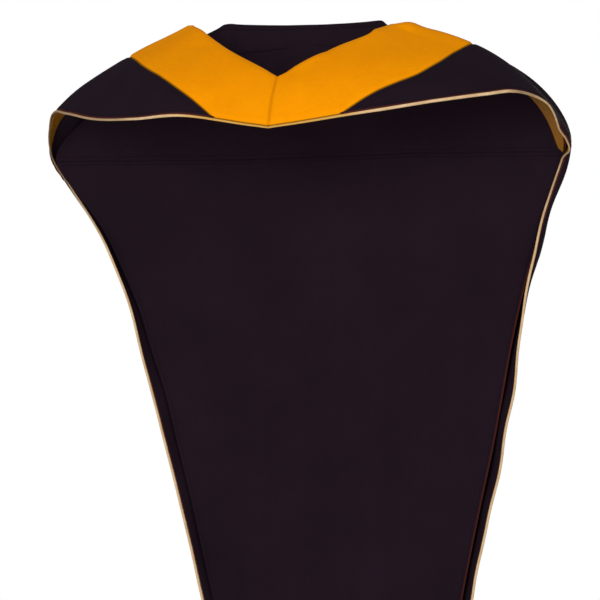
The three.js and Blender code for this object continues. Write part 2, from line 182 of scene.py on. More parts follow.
# Folds drawn on the ring. A fold runs from one place to another, given as (section, share of the rib).
folds = [
    {"side": -1, "start": (0.25, 0.15), "end": (0.75, 0.95), "width": 0.012, "depth": -0.0016},
    {"side": -1, "start": (1.7, 0.1), "end": (0.9, 0.8), "width": 0.016, "depth": 0.0024},
    {"side": -1, "start": (3.4, 0.5), "end": (2.6, 0.97), "width": 0.016, "depth": -0.0015},
    {"side": -1, "start": (5.8, 0.45), "end": (4.6, 1.0), "width": 0.02, "depth": 0.003},
    {"side": -1, "start": (5.6, 0.89), "end": (8.4, 0.89), "width": 0.012, "depth": 0.0075},
    {"side": 1, "start": (0.15, 0.1), "end": (0.55, 0.8), "width": 0.012, "depth": 0.0012},
    {"side": 1, "start": (0.15, 0.0), "end": (0.85, 0.03), "width": 0.009, "depth": 0.0024},
    {"side": 1, "start": (4.4, 0.11), "end": (6.9, 0.09), "width": 0.011, "depth": 0.0035},
    {"side": 1, "start": (2.2, 0.75), "end": (4, 0.95), "width": 0.018, "depth": 0.0015},
    {"side": 1, "start": (7.2, 0.4), "end": (6.4, 1.0), "width": 0.02, "depth": -0.003},
    {"side": -1, "start": (8.6, 0.5), "end": (11.6, 0.72), "width": 0.02, "depth": -0.006},
    {"side": -1, "start": (8.9, 0.75), "end": (12.2, 0.9), "width": 0.018, "depth": 0.004},
    {"side": -1, "start": (9.6, 0.35), "end": (12.4, 0.45), "width": 0.017, "depth": 0.0045},
    {"side": 1, "start": (8.4, 0.62), "end": (11.2, 0.66), "width": 0.021, "depth": -0.006},
    {"side": 1, "start": (9.2, 0.82), "end": (12.4, 0.88), "width": 0.017, "depth": 0.004},
    {"side": 1, "start": (9.9, 0.38), "end": (12.2, 0.5), "width": 0.018, "depth": 0.005},
]


# Points along a smooth curve through rows of points. Rows may hold one point or a whole line of points.
def alongCurve(rows, places):
    rows = np.asarray(rows, float)
    places = np.asarray(places, float)
    spread = [1] * (rows.ndim - 1)
    ends = np.stack([2 * rows[0] - rows[1], 2 * rows[-1] - rows[-2]])
    padded = np.concatenate([ends[:1], rows, ends[1:]])
    start = np.clip(places.astype(int), 0, len(rows) - 2)
    share = (places - start).reshape(-1, *spread)
    a, b, c, d = (padded[start + i] for i in range(4))

    def space(p, q):
        square = ((q - p) ** 2).sum(-1).reshape(len(places), -1).mean(1)
        return np.maximum(square, 1e-12).reshape(-1, *spread) ** 0.25

    ab, bc, cd = space(a, b), space(b, c), space(c, d)
    leave = ((b - a) / ab - (c - a) / (ab + bc) + (c - b) / bc) * bc
    arrive = ((c - b) / bc - (d - b) / (bc + cd) + (d - c) / cd) * bc
    square, cube = share**2, share**3
    return (
        (2 * cube - 3 * square + 1) * b
        + (cube - 2 * square + share) * leave
        + (3 * square - 2 * cube) * c
        + (cube - square) * arrive
    )


def unit(vectors):
    return vectors / np.maximum(np.linalg.norm(vectors, axis=-1, keepdims=True), 1e-12)


# A rib without its swell: it passes through the crown half way down.
def plainRib(neck, crown, hem, down):
    control = 2 * crown - (neck + hem) / 2
    return (1 - down) ** 2 * neck + 2 * down * (1 - down) * control + down**2 * hem


def guideCurves(side):
    neck, crown, flank, hem = [], [], [], []
    rows = [(row, hood["frontDrop"]) for row in frontSections]
    rows += [(row, hood["hoodLength"]) for row in backSections]

    def reach(share):
        return share * (hood["frontReach"] if share < 0 else hood["backReach"])

    for i, (row, drop) in enumerate(rows):
        out, back, down = row["neck"]
        neckPoint = np.array([side * out * hood["neckSpan"] / 2, reach(back), -down * drop])
        cape, tail, back, down = row["hem"]
        out = (cape * hood["capeSpan"] + tail * hood["tailWidth"]) / 2
        hemPoint = np.array([side * out, reach(back), -down * drop])
        out, back, up = row["rise"]
        crownPoint = (neckPoint + hemPoint) / 2 + np.array([side * out, back, up]) * hood["ribRise"]
        if i < len(slips["neck"]):
            neckPoint[0] -= slips["neck"][i] * hood["slip"]
            hemPoint[0] -= slips["hem"][i] * hood["slip"]
            if side < 0:
                neckPoint[2] -= slips["neckLower"][i] * hood["slip"]
                crownPoint[2] -= slips["middleLower"][i] * hood["slip"]
                hemPoint[2] -= slips["hemLower"][i] * hood["slip"]
        out, back, up = row.get("swell", (0, 0, 0))
        plain = plainRib(neckPoint, crownPoint, hemPoint, hood["swellPeak"])
        flank.append(plain + np.array([side * out, back, up]) * hood["swell"])
        neck.append(neckPoint)
        crown.append(crownPoint)
        hem.append(hemPoint)
    return neck, crown, flank, hem


# Points of the plain ring, before any folds, at arrays of places and shares of the rib.
def ringPoints(ring, place, down):
    place, down = np.broadcast_arrays(np.asarray(place, float), np.asarray(down, float))
    flatPlace = np.clip(place.ravel(), 0, hood["lastPlace"])
    share = down.ravel()[:, None]
    neck, crown, flank, hem = (alongCurve(curve, flatPlace) for curve in ring["curves"])
    peak = hood["swellPeak"]
    swell = flank - plainRib(neck, crown, hem, peak)
    points = plainRib(neck, crown, hem, share) + swell * (share**3 * (1 - share) / (peak**3 * (1 - peak)))
    return points.reshape(*place.shape, 3)


def ringFacings(ring, place, down):
    place, down = np.broadcast_arrays(np.asarray(place, float), np.asarray(down, float))
    step = sampling["facingStep"]
    along = ringPoints(ring, place + step, down) - ringPoints(ring, place - step, down)
    across = ringPoints(ring, place, down + step) - ringPoints(ring, place, down - step)
    facing = np.cross(across, along) * ring["side"]
    atSeam = (place <= 0) | (place >= hood["lastPlace"])
    facing[..., 0] = np.where(atSeam, 0, facing[..., 0])
    return unit(facing)


def smooth(low, high, value):
    share = np.clip((value - low) / (high - low), 0, 1)
    return share * share * (3 - 2 * share)


# Each wave of the ripple is given as its radians per metre along X, Y and Z, and its phase.
ripple = {
    "size": 0.0007,
    "waves": [(52, 31, 17, 0.3), (-23, 61, 29, 1.7), (37, -19, 73, 4.1), (11, 83, -47, 2.6)],
}


# How far the ripple and the folds lift the cloth at each point.
def foldLift(ring, place, points):
    lift = np.zeros(points.shape[:-1])
    for x, y, z, phase in ripple["waves"]:
        lift += ripple["size"] * np.sin(points @ np.array([x, y, z]) + phase + ring["side"])
    for line in ring["foldLines"]:
        gaps = np.linalg.norm(points[..., None, :] - line["points"], axis=-1)
        nearest = gaps.argmin(-1)
        gap = gaps.min(-1)
        lift += line["depth"] * line["taper"][nearest] * np.exp(-((gap / line["width"]) ** 2))
    return lift * smooth(0, hood["frontCalm"], place) * smooth(0, hood["tailCalm"], hood["lastPlace"] - place)


# Points and facings of the folded cloth, set in from its outer face by a depth.
def clothAt(ring, place, down, depth=0.0):
    place, down = np.broadcast_arrays(np.asarray(place, float), np.asarray(down, float))
    points = ringPoints(ring, place, down)
    facings = ringFacings(ring, place, down)
    lift = foldLift(ring, place, points)
    points = points + facings * (lift - depth)[..., None]
    points[..., 0] = ring["side"] * np.maximum(points[..., 0] * ring["side"], hood["middleGap"])
    return points, facings


# The first share from 0 to 1 at which a test holds, for each place.
def firstShare(holds, count):
    low, high = np.zeros(count), np.ones(count)
    for _ in range(sampling["halvings"]):
        middle = (low + high) / 2
        found = holds(middle)
        high = np.where(found, middle, high)
        low = np.where(found, low, middle)
    return high


# The share of the rib that the band covers: down to where the cloth is a band's width from the neck edge.
def bareShares(ring, places):
    flare = hood["bandFlare"] * np.maximum(0, 1 - places / hood["flareSections"]) ** 2
    lean = np.interp(places, range(len(slips["band"])), slips["band"])
    width = hood["bandWidth"] * (1 + flare) + ring["side"] * lean * hood["slip"]

    def reachesBand(down):
        points = ringPoints(ring, places, down)
        gaps = np.linalg.norm(points[:, None] - ring["neckEdge"][None], axis=-1)
        return gaps.min(1) > width

    inside = reachesBand(np.ones(len(places)))
    return np.where(inside, firstShare(reachesBand, len(places)), 1)


# Between which sections the band's seam is evened out, and how many sections that reaches to each side.
evening = {"first": 2, "last": 7, "fade": 1, "reach": 0.7, "offsets": (-1, -0.5, 0, 0.5, 1)}


# The same share, evened out along the shoulder.
def bandShares(ring, places):
    places = np.atleast_1d(np.asarray(places, float))
    window = evening["reach"] * smooth(evening["first"], evening["first"] + evening["fade"], places)
    window = window * smooth(0, evening["fade"], evening["last"] - places)
    shares = bareShares(ring, places)
    near = window > 0
    if near.any():
        spots = [places[near] + window[near] * offset for offset in evening["offsets"]]
        shares[near] = np.mean([bareShares(ring, spot) for spot in spots], 0)
    return shares


# One side of the ring. Its tip is the place where the band stops covering the whole rib.
def ringSide(side):
    ring = {"side": side, "curves": guideCurves(side), "foldLines": []}
    ring["neckEdge"] = alongCurve(ring["curves"][0], np.linspace(0, hood["lastPlace"], sampling["neckEdge"]))
    for fold in folds:
        if fold["side"] == side:
            share = np.linspace(0, 1, sampling["foldLine"])
            place = fold["start"][0] + (fold["end"][0] - fold["start"][0]) * share
            down = fold["start"][1] + (fold["end"][1] - fold["start"][1]) * share
            taper = np.sin(np.pi * share) ** hood["foldTaper"]
            ring["foldLines"].append(dict(fold, points=ringPoints(ring, place, down), taper=taper))
    tipShare = firstShare(lambda share: bandShares(ring, share * hood["cowlStart"]) < 1, 1)
    ring["tip"] = tipShare[0] * hood["cowlStart"]
    return ring


rings = {"left": ringSide(1), "right": ringSide(-1)}


def placesBetween(low, high):
    steps = np.arange(0, hood["lastPlace"] * sampling["stepsPerSection"] + 1) / sampling["stepsPerSection"]
    closest = sampling["closestSteps"]
    inside = steps[(steps > low + closest) & (steps < high - closest)]
    return np.concatenate([[low], inside, [high]])


# The share of the rib at which the shell begins, and the length of the rib.
def shellStart(ring, places):
    ribs = ringPoints(ring, places[:, None], np.linspace(0, 1, sampling["rib"]))
    lengths = np.linalg.norm(np.diff(ribs, axis=1), axis=-1).sum(1)
    start = np.minimum(bandShares(ring, places) + hood["seamGap"] / lengths, hood["lowestShellStart"])
    return start, lengths


print("form worked out")


# Pieces

# A piece from rows of points, each row running round or across the cloth. The shape starts as a plain grid.
def gridPiece(name, points, uvs, marks, material):
    rowCount, columnCount = points.shape[:2]
    grid = bmesh.new()
    bmesh.ops.create_grid(grid, x_segments=rowCount - 1, y_segments=columnCount - 1, size=1)
    mesh = bpy.data.meshes.new(name)
    grid.to_mesh(mesh)
    grid.free()

    flat = np.empty(len(mesh.vertices) * 3)
    mesh.vertices.foreach_get("co", flat)
    flat = flat.reshape(-1, 3)
    low, high = flat.min(0), flat.max(0)
    i = np.rint((flat[:, 0] - low[0]) / (high[0] - low[0]) * (rowCount - 1)).astype(int)
    j = np.rint((flat[:, 1] - low[1]) / (high[1] - low[1]) * (columnCount - 1)).astype(int)
    mesh.vertices.foreach_set("co", points[i, j].ravel())
    corner = np.empty(len(mesh.loops), int)
    mesh.loops.foreach_get("vertex_index", corner)
    layer = mesh.uv_layers.new(name="cloth")
    layer.data.foreach_set("uv", uvs[i, j][corner].ravel())
    for label, values in marks.items():
        attribute = mesh.attributes.new(label, "FLOAT", "POINT")
        attribute.data.foreach_set("value", values[i, j])

    form = bmesh.new()
    form.from_mesh(mesh)
    bmesh.ops.remove_doubles(form, verts=form.verts, dist=sampling["weld"])
    rims = [edge for edge in form.edges if edge.is_boundary]
    bmesh.ops.holes_fill(form, edges=rims, sides=0)
    bmesh.ops.recalc_face_normals(form, faces=form.faces)
    form.to_mesh(mesh)
    form.free()
    mesh.polygons.foreach_set("use_smooth", np.ones(len(mesh.polygons), bool))
    mesh.materials.append(material)
    piece = bpy.data.objects.new(name, mesh)
    bpy.context.collection.objects.link(piece)
    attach(piece, "root")
    return piece


def lengthsAlong(points, axis):
    steps = np.linalg.norm(np.diff(points, axis=axis), axis=-1)
    shape = list(points.shape[:2])
    shape[axis] = 1
    return np.concatenate([np.zeros(shape), np.cumsum(steps, axis=axis)], axis=axis)


# Values of a wall's outer face, carried round its rim and its inner face and back.
def aroundWall(values):
    return np.concatenate([values, values[:, -1:], values[:, ::-1], values[:, :1], values[:, :1]], 1)


# The edges of a wall: the cloth sinks towards them by its roll, less at its first and last rows, and its
# face is drawn round them by shares of its thickness.
wall = {"rollWidth": 0.0022, "endRoll": 0.5, "pull": 0.4, "longestPull": 0.3, "sink": 0.12}


# A wall of cloth with rounded edges. Its outer face is the grid of points.
def wallPiece(name, points, facings, thickness, material, roll=0.0):
    across = lengthsAlong(points, 1)
    along = lengthsAlong(points, 0)
    middle = np.broadcast_to(along[:, [along.shape[1] // 2]], across.shape)
    seam = np.minimum(across, across[:, -1:] - across)
    rows = np.minimum(middle, middle[-1:] - middle)
    nearSeam, nearEnd = (np.exp(-((gap / wall["rollWidth"]) ** 2)) for gap in (seam, rows))
    groove = np.maximum(nearSeam, wall["endRoll"] * nearEnd)
    seam = np.minimum(seam, rows)
    sunk = points - facings * (roll * groove)[..., None]
    outer = sunk.copy()
    begin = unit(points[:, 1] - points[:, 0])
    finish = unit(points[:, -2] - points[:, -1])
    pull = np.minimum(wall["pull"] * thickness, wall["longestPull"] * across[:, 1:2])
    sink = wall["sink"] * thickness
    outer[:, 0] += begin * pull - facings[:, 0] * sink
    outer[:, -1] += finish * pull - facings[:, -1] * sink
    inner = points - facings * thickness
    rimEnd = (sunk[:, -1] + inner[:, -1]) / 2
    rimStart = (sunk[:, 0] + inner[:, 0]) / 2
    loop = [outer, rimEnd[:, None], inner[:, ::-1], rimStart[:, None], outer[:, :1]]
    # The distances from the seams, from the last column and from the end rows.
    marks = {"seam": aroundWall(seam), "edge": aroundWall(across[:, -1:] - across), "ends": aroundWall(rows)}
    uv = aroundWall(np.stack([middle, across], -1))
    return gridPiece(name, np.concatenate(loop, 1), uv, marks, material)


def gridFacings(points):
    across = np.gradient(points, axis=1)
    down = np.gradient(points, axis=0)
    return unit(np.cross(across, down))


# Materials

def addNode(tree, kind, name, place, **values):
    node = tree.nodes.new(kind)
    node.name = node.label = name
    node.location = place
    for key, value in values.items():
        setattr(node, key, value)
    return node


def setInputs(node, values):
    for label, value in values.items():
        node.inputs[label].default_value = value


def makeGroup(name, inputs, outputs):
    group = bpy.data.node_groups.new(name, "ShaderNodeTree")
    for label, kind, value in inputs:
        socket = group.interface.new_socket(label, in_out="INPUT", socket_type=kind)
        if value is not None:
            socket.default_value = value
    for label, kind in outputs:
        group.interface.new_socket(label, in_out="OUTPUT", socket_type=kind)
    entry = addNode(group, "NodeGroupInput", "in", (-900, 0))
    leave = addNode(group, "NodeGroupOutput", "out", (700, 0))
    return group, entry, leave


def mathNode(tree, operation, place, first, second=None, clamp=False):
    node = addNode(tree, "ShaderNodeMath", operation.lower(), place, operation=operation, use_clamp=clamp)
    for socket, value in zip(node.inputs, (first, second)):
        if value is None:
            continue
        if isinstance(value, (int, float)):
            socket.default_value = value
        else:
            tree.links.new(value, socket)
    return node.outputs[0]


weaving = {
    "threads": 1400.0,
    "slub": 0.4,
    "slubNoise": {"Scale": 260.0, "Detail": 3.0},
    "slubStretch": {"Scale": (0.3, 1.6, 1.0)},
}


# Threads of a weave along both directions of the cloth, with uneven thickness.
def makeWeaveGroup():
    group, entry, leave = makeGroup(
        "weave",
        [
            ("Vector", "NodeSocketVector", None),
            ("Threads", "NodeSocketFloat", weaving["threads"]),
            ("Slub", "NodeSocketFloat", weaving["slub"]),
        ],
        [("Height", "NodeSocketFloat"), ("Shade", "NodeSocketFloat")],
    )
    links = group.links
    split = addNode(group, "ShaderNodeSeparateXYZ", "split", (-700, 100))
    links.new(entry.outputs["Vector"], split.inputs[0])
    turned = mathNode(group, "MULTIPLY", (-500, 200), entry.outputs["Threads"], math.pi)
    waves = []
    for i, axis in enumerate("XY"):
        angle = mathNode(group, "MULTIPLY", (-300, 200 - 180 * i), split.outputs[axis], turned)
        waves.append(mathNode(group, "SINE", (-120, 200 - 180 * i), angle))
    crossing = mathNode(group, "MULTIPLY", (60, 100), waves[0], waves[1])
    slub = addNode(group, "ShaderNodeTexNoise", "slub", (-300, -250))
    setInputs(slub, weaving["slubNoise"])
    stretch = addNode(group, "ShaderNodeMapping", "stretch", (-500, -250))
    setInputs(stretch, weaving["slubStretch"])
    links.new(entry.outputs["Vector"], stretch.inputs["Vector"])
    links.new(stretch.outputs[0], slub.inputs["Vector"])
    uneven = mathNode(group, "MULTIPLY", (60, -200), slub.outputs["Fac"], entry.outputs["Slub"])
    height = mathNode(group, "ADD", (260, 0), crossing, uneven)
    links.new(height, leave.inputs["Height"])
    links.new(slub.outputs["Fac"], leave.inputs["Shade"])
    return group


stitching = {"inset": 0.004, "pitch": 0.003, "halfWidth": 0.00035, "dash": 0.72}


# A mask that is 1 on a seam line at a distance from the cloth's edge, and broken into stitches.
def makeStitchGroup():
    group, entry, leave = makeGroup(
        "stitches",
        [
            ("Vector", "NodeSocketVector", None),
            ("Seam", "NodeSocketFloat", 0.0),
            ("Inset", "NodeSocketFloat", stitching["inset"]),
            ("Pitch", "NodeSocketFloat", stitching["pitch"]),
        ],
        [("Mask", "NodeSocketFloat")],
    )
    links = group.links
    off = mathNode(group, "SUBTRACT", (-600, 0), entry.outputs["Seam"], entry.outputs["Inset"])
    away = mathNode(group, "ABSOLUTE", (-440, 0), off)
    line = mathNode(group, "LESS_THAN", (-280, 0), away, stitching["halfWidth"])
    split = addNode(group, "ShaderNodeSeparateXYZ", "split", (-700, -200))
    links.new(entry.outputs["Vector"], split.inputs[0])
    turns = mathNode(group, "DIVIDE", (-500, -200), split.outputs["X"], entry.outputs["Pitch"])
    part = mathNode(group, "FRACT", (-340, -200), turns)
    dash = mathNode(group, "LESS_THAN", (-180, -200), part, stitching["dash"])
    both = mathNode(group, "MULTIPLY", (60, 0), line, dash)
    links.new(both, leave.inputs["Mask"])
    return group


weaveGroup = makeWeaveGroup()
stitchGroup = makeStitchGroup()

# The finish of each cloth. An inset below zero leaves out the stitches.
cloths = {
    "goldVelvet": {
        "deep": (0.74, 0.232, 0.0),
        "bright": (0.85, 0.292, 0.0),
        "mottle": 0.55,
        "rough": (0.8, 0.95),
        "threads": 1100.0,
        "bump": 0.22,
        "patch": 16.0,
        "sheen": 0.03,
        "sheenRough": 0.4,
        "sheenTint": (1.0, 0.6, 0.1),
        "specular": 0.03,
        # With no stitches, this colour only paints the shade along the seams at the end rows.
        "stitchAndShade": (0.6, 0.17, 0.0),
        "inset": -1.0,
        "seamShade": 0.15,
        "edge": (0.14, 0.07, 0.002),
        "edgeSpan": (0.0003, 0.0012),
        "edgeShade": 0.8,
    },
    "blackCloth": {
        "deep": (0.0082, 0.0036, 0.0072),
        "bright": (0.014, 0.0066, 0.0122),
        "mottle": 0.55,
        "rough": (0.82, 0.94),
        "threads": 1500.0,
        "bump": 0.2,
        "patch": 12.0,
        "sheen": 0.008,
        "sheenRough": 0.5,
        "sheenTint": (0.9, 0.75, 0.95),
        "specular": 0.06,
        "stitchAndShade": (0.005, 0.003, 0.0045),
        "inset": 0.004,
        "seamShade": 0.2,
        "edge": (0.075, 0.014, 0.008),
        "edgeSpan": (0.0008, 0.0022),
        "edgeShade": 0.85,
    },
    "goldSatin": {
        "deep": (0.5, 0.2, 0.006),
        "bright": (0.66, 0.28, 0.01),
        "mottle": 0.2,
        "rough": (0.36, 0.48),
        "threads": 2000.0,
        "bump": 0.08,
        "patch": 9.0,
        "sheen": 0.02,
        "sheenRough": 0.3,
        "sheenTint": (1.0, 0.8, 0.5),
        "specular": 0.22,
        "stitchAndShade": (0.2, 0.08, 0.004),
        "inset": 0.004,
        "seamShade": 0.5,
        "edge": (0.1, 0.04, 0.002),
        "edgeSpan": (0.0002, 0.0012),
        "edgeShade": 0.6,
    },
    "creamCord": {
        "deep": (0.5, 0.29, 0.12),
        "bright": (0.78, 0.57, 0.33),
        "mottle": 0.55,
        "rough": (0.5, 0.66),
        "threads": 1700.0,
        "bump": 0.3,
        "patch": 60.0,
        "sheen": 0.05,
        "sheenRough": 0.4,
        "sheenTint": (1.0, 0.9, 0.75),
        "specular": 0.25,
        # With no stitches, this colour paints the cord's shade along the hem.
        "stitchAndShade": (0.13, 0.07, 0.03),
        "inset": -1.0,
        "seamShade": 1.0,
        "edge": (0.55, 0.28, 0.03),
        "edgeSpan": (0.0006, 0.0014),
        "edgeShade": 0.85,
    },
}


# The same satin, darkened with painted shade for where it lies in the shade inside the cape.
shade = {"deep": (0.15, 0.055, 0.002), "bright": (0.24, 0.095, 0.003), "specular": 0.15}
cloths["shadedSatin"] = {**cloths["goldSatin"], **shade}

# What all cloths share: soft patches and fine fibres in the colour, the width of the dark line at the end
# rows, and the relief of the weave, the fibres and the stitches.
grain = {
    "patchNoise": {"Detail": 4.0, "Roughness": 0.6},
    "fibreNoise": {"Scale": 700.0, "Detail": 2.0},
    "fibreTone": 0.3,
    "threadTone": 0.3,
    "contrast": 0.22,
    "endSpan": (0.0002, 0.0016),
    "stitchDepth": -1.5,
    "reliefDepth": 0.0004,
}


# A mask that falls from a strength to nothing between two distances.
def fadeNode(tree, name, place, value, span, strength):
    fade = addNode(tree, "ShaderNodeMapRange", name, place, interpolation_type="SMOOTHSTEP")
    setInputs(fade, {"From Min": span[0], "From Max": span[1], "To Min": strength, "To Max": 0.0})
    tree.links.new(value, fade.inputs["Value"])
    return fade.outputs["Result"]


def tintNode(tree, name, place, base, tint, mask):
    mix = addNode(tree, "ShaderNodeMix", name, place, data_type="RGBA")
    mix.inputs["B"].default_value = (*tint, 1)
    tree.links.new(mask, mix.inputs["Factor"])
    tree.links.new(base, mix.inputs["A"])
    return mix.outputs["Result"]


def clothMaterial(name):
    look = cloths[name]
    material = bpy.data.materials.new(name)
    material.use_nodes = True
    tree = material.node_tree
    links = tree.links
    shader = tree.nodes["Principled BSDF"]
    shader.location = (1100, 0)
    tree.nodes["Material Output"].location = (1400, 0)

    uv = addNode(tree, "ShaderNodeUVMap", "uv", (-900, 0), uv_map="cloth")
    place = addNode(tree, "ShaderNodeTexCoord", "place", (-900, -300))
    seam = addNode(tree, "ShaderNodeAttribute", "seam", (-900, 300), attribute_name="seam")
    edge = addNode(tree, "ShaderNodeAttribute", "edge", (-900, 500), attribute_name="edge")
    ends = addNode(tree, "ShaderNodeAttribute", "ends", (-900, 700), attribute_name="ends")

    weave = addNode(tree, "ShaderNodeGroup", "weave", (-600, 0), node_tree=weaveGroup)
    weave.inputs["Threads"].default_value = look["threads"]
    links.new(uv.outputs[0], weave.inputs["Vector"])
    stitches = addNode(tree, "ShaderNodeGroup", "stitches", (-600, 300), node_tree=stitchGroup)
    stitches.inputs["Inset"].default_value = look["inset"]
    links.new(uv.outputs[0], stitches.inputs["Vector"])
    links.new(seam.outputs["Fac"], stitches.inputs["Seam"])

    patch = addNode(tree, "ShaderNodeTexNoise", "patch", (-600, -300))
    setInputs(patch, {"Scale": look["patch"], **grain["patchNoise"]})
    links.new(place.outputs["Object"], patch.inputs["Vector"])
    fibre = addNode(tree, "ShaderNodeTexNoise", "fibre", (-600, -560))
    setInputs(fibre, grain["fibreNoise"])
    links.new(place.outputs["Object"], fibre.inputs["Vector"])

    tone = mathNode(tree, "MULTIPLY", (-380, -300), patch.outputs["Fac"], look["mottle"])
    fuzz = mathNode(tree, "MULTIPLY", (-380, -480), fibre.outputs["Fac"], grain["fibreTone"])
    thread = mathNode(tree, "MULTIPLY", (-380, -120), weave.outputs["Shade"], grain["threadTone"])
    mixed = mathNode(tree, "ADD", (-200, -300), tone, fuzz)
    mixed = mathNode(tree, "ADD", (-40, -300), mixed, thread)
    ramp = addNode(tree, "ShaderNodeValToRGB", "colour", (140, -200))
    centre = (look["mottle"] + grain["fibreTone"] + grain["threadTone"]) / 2
    ramp.color_ramp.elements[0].position = centre - grain["contrast"]
    ramp.color_ramp.elements[1].position = centre + grain["contrast"]
    ramp.color_ramp.elements[0].color = (*look["deep"], 1)
    ramp.color_ramp.elements[1].color = (*look["bright"], 1)
    links.new(mixed, ramp.inputs["Fac"])

    seamShade, edgeShade = look["seamShade"], look["edgeShade"]
    # Painted shade along the seams near the end rows, and on the cord its painted shade along the hem; the
    # stitches share its colour.
    seamMask = fadeNode(tree, "seam shade", (-380, 700), ends.outputs["Fac"], grain["endSpan"], seamShade)
    seamMask = mathNode(tree, "MAXIMUM", (-100, 500), seamMask, stitches.outputs["Mask"])
    edgeMask = fadeNode(tree, "edge shade", (-380, 900), edge.outputs["Fac"], look["edgeSpan"], edgeShade)
    colour = tintNode(tree, "stitchedAndShaded", (520, 0), ramp.outputs["Color"], look["stitchAndShade"], seamMask)
    colour = tintNode(tree, "edged", (760, 0), colour, look["edge"], edgeMask)
    links.new(colour, shader.inputs["Base Color"])

    rough = addNode(tree, "ShaderNodeMapRange", "roughness", (520, -260))
    setInputs(rough, {"To Min": look["rough"][0], "To Max": look["rough"][1]})
    links.new(mixed, rough.inputs["Value"])
    links.new(rough.outputs[0], shader.inputs["Roughness"])

    dent = mathNode(tree, "MULTIPLY", (140, -620), stitches.outputs["Mask"], grain["stitchDepth"])
    relief = mathNode(tree, "ADD", (320, -620), weave.outputs["Height"], dent)
    relief = mathNode(tree, "ADD", (460, -620), relief, fibre.outputs["Fac"])
    bump = addNode(tree, "ShaderNodeBump", "bump", (640, -520))
    setInputs(bump, {"Strength": look["bump"], "Distance": grain["reliefDepth"]})
    links.new(relief, bump.inputs["Height"])
    links.new(bump.outputs[0], shader.inputs["Normal"])

    surface = {
        "Specular IOR Level": look["specular"],
        "Sheen Weight": look["sheen"],
        "Sheen Roughness": look["sheenRough"],
        "Sheen Tint": (*look["sheenTint"], 1),
    }
    setInputs(shader, surface)
    return material


materials = {name: clothMaterial(name) for name in cloths}
print("materials made")


# Bands

band = {"columns": 22, "roll": 0.0011, "flat": (0.085, 0.83), "area": 0.06}


def addBand(name, ring):
    places = placesBetween(0, hood["lastPlace"])
    edge = np.where(places < ring["tip"], 1, bandShares(ring, places))
    down = edge[:, None] * np.linspace(0, 1, band["columns"])
    points, facings = clothAt(ring, places[:, None], down)
    node = f"{name}_band"
    cloth = materials["goldVelvet"]
    piece = wallPiece(f"{node}_cloth", points, facings, hood["bandCloth"], cloth, band["roll"])
    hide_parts(node)


# Shells

shell = {"columns": 40, "roll": 0.0006, "flat": (0.25, 1.0), "area": 0.117}


def addShell(name, ring):
    places = placesBetween(ring["tip"], hood["lastPlace"])
    start, _ = shellStart(ring, places)
    down = start[:, None] + (1 - start[:, None]) * np.linspace(0, 1, shell["columns"])
    points, facings = clothAt(ring, places[:, None], down)
    node = f"{name}_shell"
    cloth = materials["blackCloth"]
    piece = wallPiece(f"{node}_cloth", points, facings, hood["shellCloth"], cloth, shell["roll"])
    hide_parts(node)


# Facings inside the hem of the cape

facing = {
    "columns": 12,
    "lastPlace": 7.75,
    "taperStart": 5.0,
    "taper": 0.85,
    "widest": 0.7,
    "flat": (0.042, 0.21),
    "area": 0.0062,
}


# The facing's width as a share of the rib: its own width, or the widest part of the shell that it may take.
def facingShare(start, lengths):
    return np.minimum(hood["facingWidth"] / lengths, facing["widest"] * (1 - start))


def addFacing(name, ring):
    places = placesBetween(ring["tip"], facing["lastPlace"])
    width = facingShare(*shellStart(ring, places))
    width = width * (1 - facing["taper"] * smooth(facing["taperStart"], facing["lastPlace"], places))
    down = 1 - width[:, None] * np.linspace(1, 0, facing["columns"])
    depth = hood["shellCloth"] + hood["seamGap"]
    points, facings = clothAt(ring, places[:, None], down, depth)
    node = f"{name}_facing"
    piece = wallPiece(f"{node}_cloth", points, facings, hood["facingCloth"], materials["shadedSatin"])
    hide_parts(node)


# Piping along the hem

# How the cord changes along the hem, by section: the share of its width that shows, how far it lies under
# the rolled edge, and how much painted shade darkens it.
piping = {
    "corners": 12,
    "stepsPerSection": 40,
    "hemGap": 0.00005,
    "middleGap": 0.00015,
    "endFade": 0.001,
    "shows": {
        "left": [
            (0, 0.6), (0.8, 0.8), (1.3, 1.0), (3.6, 1.05), (4.6, 0.85),
            (5.4, 0.65), (7.5, 0.6), (9, 0.85), (14, 0.95),
        ],
        "right": [
            (0, 0.6), (0.8, 0.75), (1.3, 0.95), (2.2, 0.8), (4.4, 0.8),
            (5.2, 0.55), (7.5, 0.5), (9, 0.85), (14, 0.95),
        ],
    },
    "under": [(0, 0), (5.2, 0), (6, 0.0018), (8.2, 0.0018), (9, 0), (14, 0)],
    # The painted shade on the cord: none at the front, most round the arms, little at the back.
    "paintedShade": {
        "left": [(0, 0), (3.6, 0), (4.1, 0.6), (5, 0.35), (8, 0.5), (9, 0.2), (14, 0.1)],
        "right": [(0, 0), (1.8, 0), (2.4, 0.5), (4.6, 0.55), (5.2, 0.8), (8, 0.75), (9, 0.2), (14, 0.1)],
    },
}


